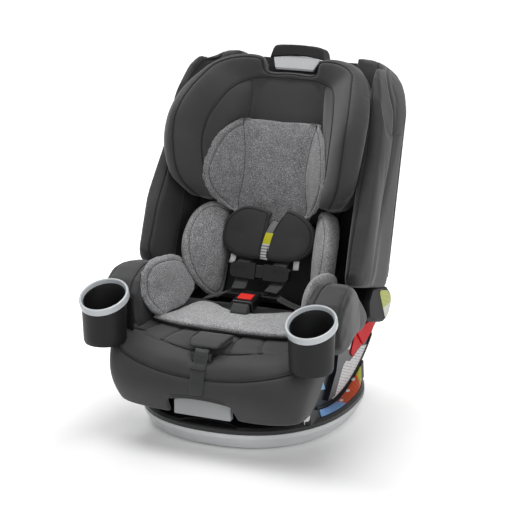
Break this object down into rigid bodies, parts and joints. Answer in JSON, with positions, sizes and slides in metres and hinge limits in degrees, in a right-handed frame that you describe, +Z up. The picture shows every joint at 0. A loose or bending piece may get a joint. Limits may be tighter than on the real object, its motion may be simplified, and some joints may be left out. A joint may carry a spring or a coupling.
{
  "type": "convertible child car seat",
  "caption": "Reclining convertible child car seat with a sliding headrest, padded side wings, five-point harness and two cup holders.",
  "frame": {"origin": "centre of the base's underside, on the floor", "axes": "+Z up; the seat faces -Y; +X is on the right of someone looking at its front"},
  "size_m": [0.4812, 0.5119, 0.6487],
  "materials": {
    "foot_plastic": "satin moulded plastic",
    "rubber": "matt",
    "black_plastic": "fine-grained",
    "scale_green": "printed film",
    "scale_orange": "printed film",
    "scale_blue": "printed film",
    "label_yellow": "printed film",
    "label_white": "printed film",
    "red_plastic": "semi-gloss",
    "steel": "plain",
    "light_plastic": "satin moulded plastic",
    "dark_fabric": "smooth knit with black piping",
    "heather_fabric": "salt-and-pepper heather",
    "webbing": "woven",
    "gloss_black": "semi-gloss"
  },
  "bodies": {
    "base": {"base_foot": "foot_plastic", "rubber_pads": "rubber", "base_deck": "black_plastic", "recline_rack": "black_plastic", "recline_scale_green": "scale_green", "recline_scale_orange": "scale_orange", "recline_scale_blue": "scale_blue"},
    "recline_grip": {"recline_handle": "light_plastic", "recline_lock_bar": "steel"},
    "flap": {"adjuster_flap": "dark_fabric"},
    "adjuster": {"adjuster_lever": "gloss_black"},
    "headrest": {"headrest_shell": "black_plastic", "headrest_cover": "dark_fabric", "head_pillow": "heather_fabric", "headrest_plate": "light_plastic", "shoulder_covers": "dark_fabric", "harness_label": "label_yellow"},
    "headrest_grip": {"headrest_handle": "black_plastic", "headrest_lock_pin": "steel"},
    "buckle": {"buckle_body": "gloss_black", "crotch_strap": "webbing"},
    "buckle_release": {"buckle_button": "red_plastic"},
    "tongue_l": {"tongue_left": "steel"},
    "tongue_r": {"tongue_right": "steel"},
    "clip_right": {"chest_clip_right": "gloss_black"},
    "clip_left": {"chest_clip_left": "gloss_black"},
    "clip_release": {"chest_clip_button": "gloss_black"},
    "seat": {"seat_pan": "black_plastic", "side_frame_left": "black_plastic", "side_frame_right": "black_plastic", "corner_cover_left": "black_plastic", "corner_cover_right": "black_plastic", "corner_labels": "label_yellow", "belt_path_trim_left": "red_plastic", "belt_path_trim_right": "red_plastic", "side_labels": "label_white", "frame_screws": "steel", "back_shell": "black_plastic", "cup_holder_left": "black_plastic", "cup_holder_right": "black_plastic", "cup_rim_left": "light_plastic", "cup_rim_right": "light_plastic", "seat_cushion": "dark_fabric", "front_cover": "dark_fabric", "adjuster_case": "black_plastic", "adjuster_strap": "webbing", "arm_pad_left": "dark_fabric", "arm_pad_right": "dark_fabric", "back_pad": "dark_fabric", "back_wing_left": "dark_fabric", "back_wing_right": "dark_fabric", "seat_insert": "heather_fabric", "hip_bolster_left": "heather_fabric", "hip_bolster_right": "heather_fabric", "torso_bolsters": "heather_fabric", "care_tag": "label_white", "shoulder_straps": "webbing", "lap_straps": "webbing"}
  },
  "joints": [
    {"name": "recline", "type": "hinge", "parent": "base", "child": "seat", "pos_m": [0, 0.004, 0.366], "axis": [-1, 0, 0], "range_deg": [0, 15]},
    {"name": "recline_grip_lift", "type": "slide", "parent": "seat", "child": "recline_grip", "axis": [0, 0, 1], "range_m": [0, 0.009], "stiffness_N_per_m": 900},
    {"name": "flap_lift", "type": "hinge", "parent": "seat", "child": "flap", "pos_m": [0, -0.146, 0.195], "axis": [-1, 0, 0], "range_deg": [0, 60]},
    {"name": "adjuster_press", "type": "slide", "parent": "seat", "child": "adjuster", "axis": [0, 1, 0], "range_m": [0, 0.003], "stiffness_N_per_m": 600},
    {"name": "headrest_height", "type": "slide", "parent": "seat", "child": "headrest", "axis": [0, 0.2756, 0.9613], "range_m": [0, 0.17], "deforming": ["shoulder_straps"]},
    {"name": "headrest_squeeze", "type": "slide", "parent": "headrest", "child": "headrest_grip", "axis": [0, 0.2756, 0.9613], "range_m": [0, 0.008], "stiffness_N_per_m": 900},
    {"name": "buckle_swing", "type": "hinge", "parent": "seat", "child": "buckle", "pos_m": [0, -0.05315, 0.2085], "axis": [1, 0, 0], "range_deg": [0, 20]},
    {"name": "buckle_press", "type": "slide", "parent": "buckle", "child": "buckle_release", "axis": [0, 0.1736, -0.9848], "range_m": [0, 0.0025], "stiffness_N_per_m": 1500},
    {"name": "tongue_left_out", "type": "slide", "parent": "buckle", "child": "tongue_l", "axis": [0, 0.9848, 0.1736], "range_m": [0, 0.018]},
    {"name": "tongue_right_out", "type": "slide", "parent": "buckle", "child": "tongue_r", "axis": [0, 0.9848, 0.1736], "range_m": [0, 0.018]},
    {"name": "chest_clip_slide", "type": "slide", "parent": "seat", "child": "clip_right", "axis": [0, 0.2756, 0.9613], "range_m": [-0.015, 0.004]},
    {"name": "chest_clip_open", "type": "slide", "parent": "clip_right", "child": "clip_left", "axis": [-1, 0, 0], "range_m": [0, 0.02]},
    {"name": "chest_clip_press", "type": "slide", "parent": "clip_right", "child": "clip_release", "axis": [0, 0.9613, -0.2756], "range_m": [0, 0.002], "stiffness_N_per_m": 700}
  ]
}
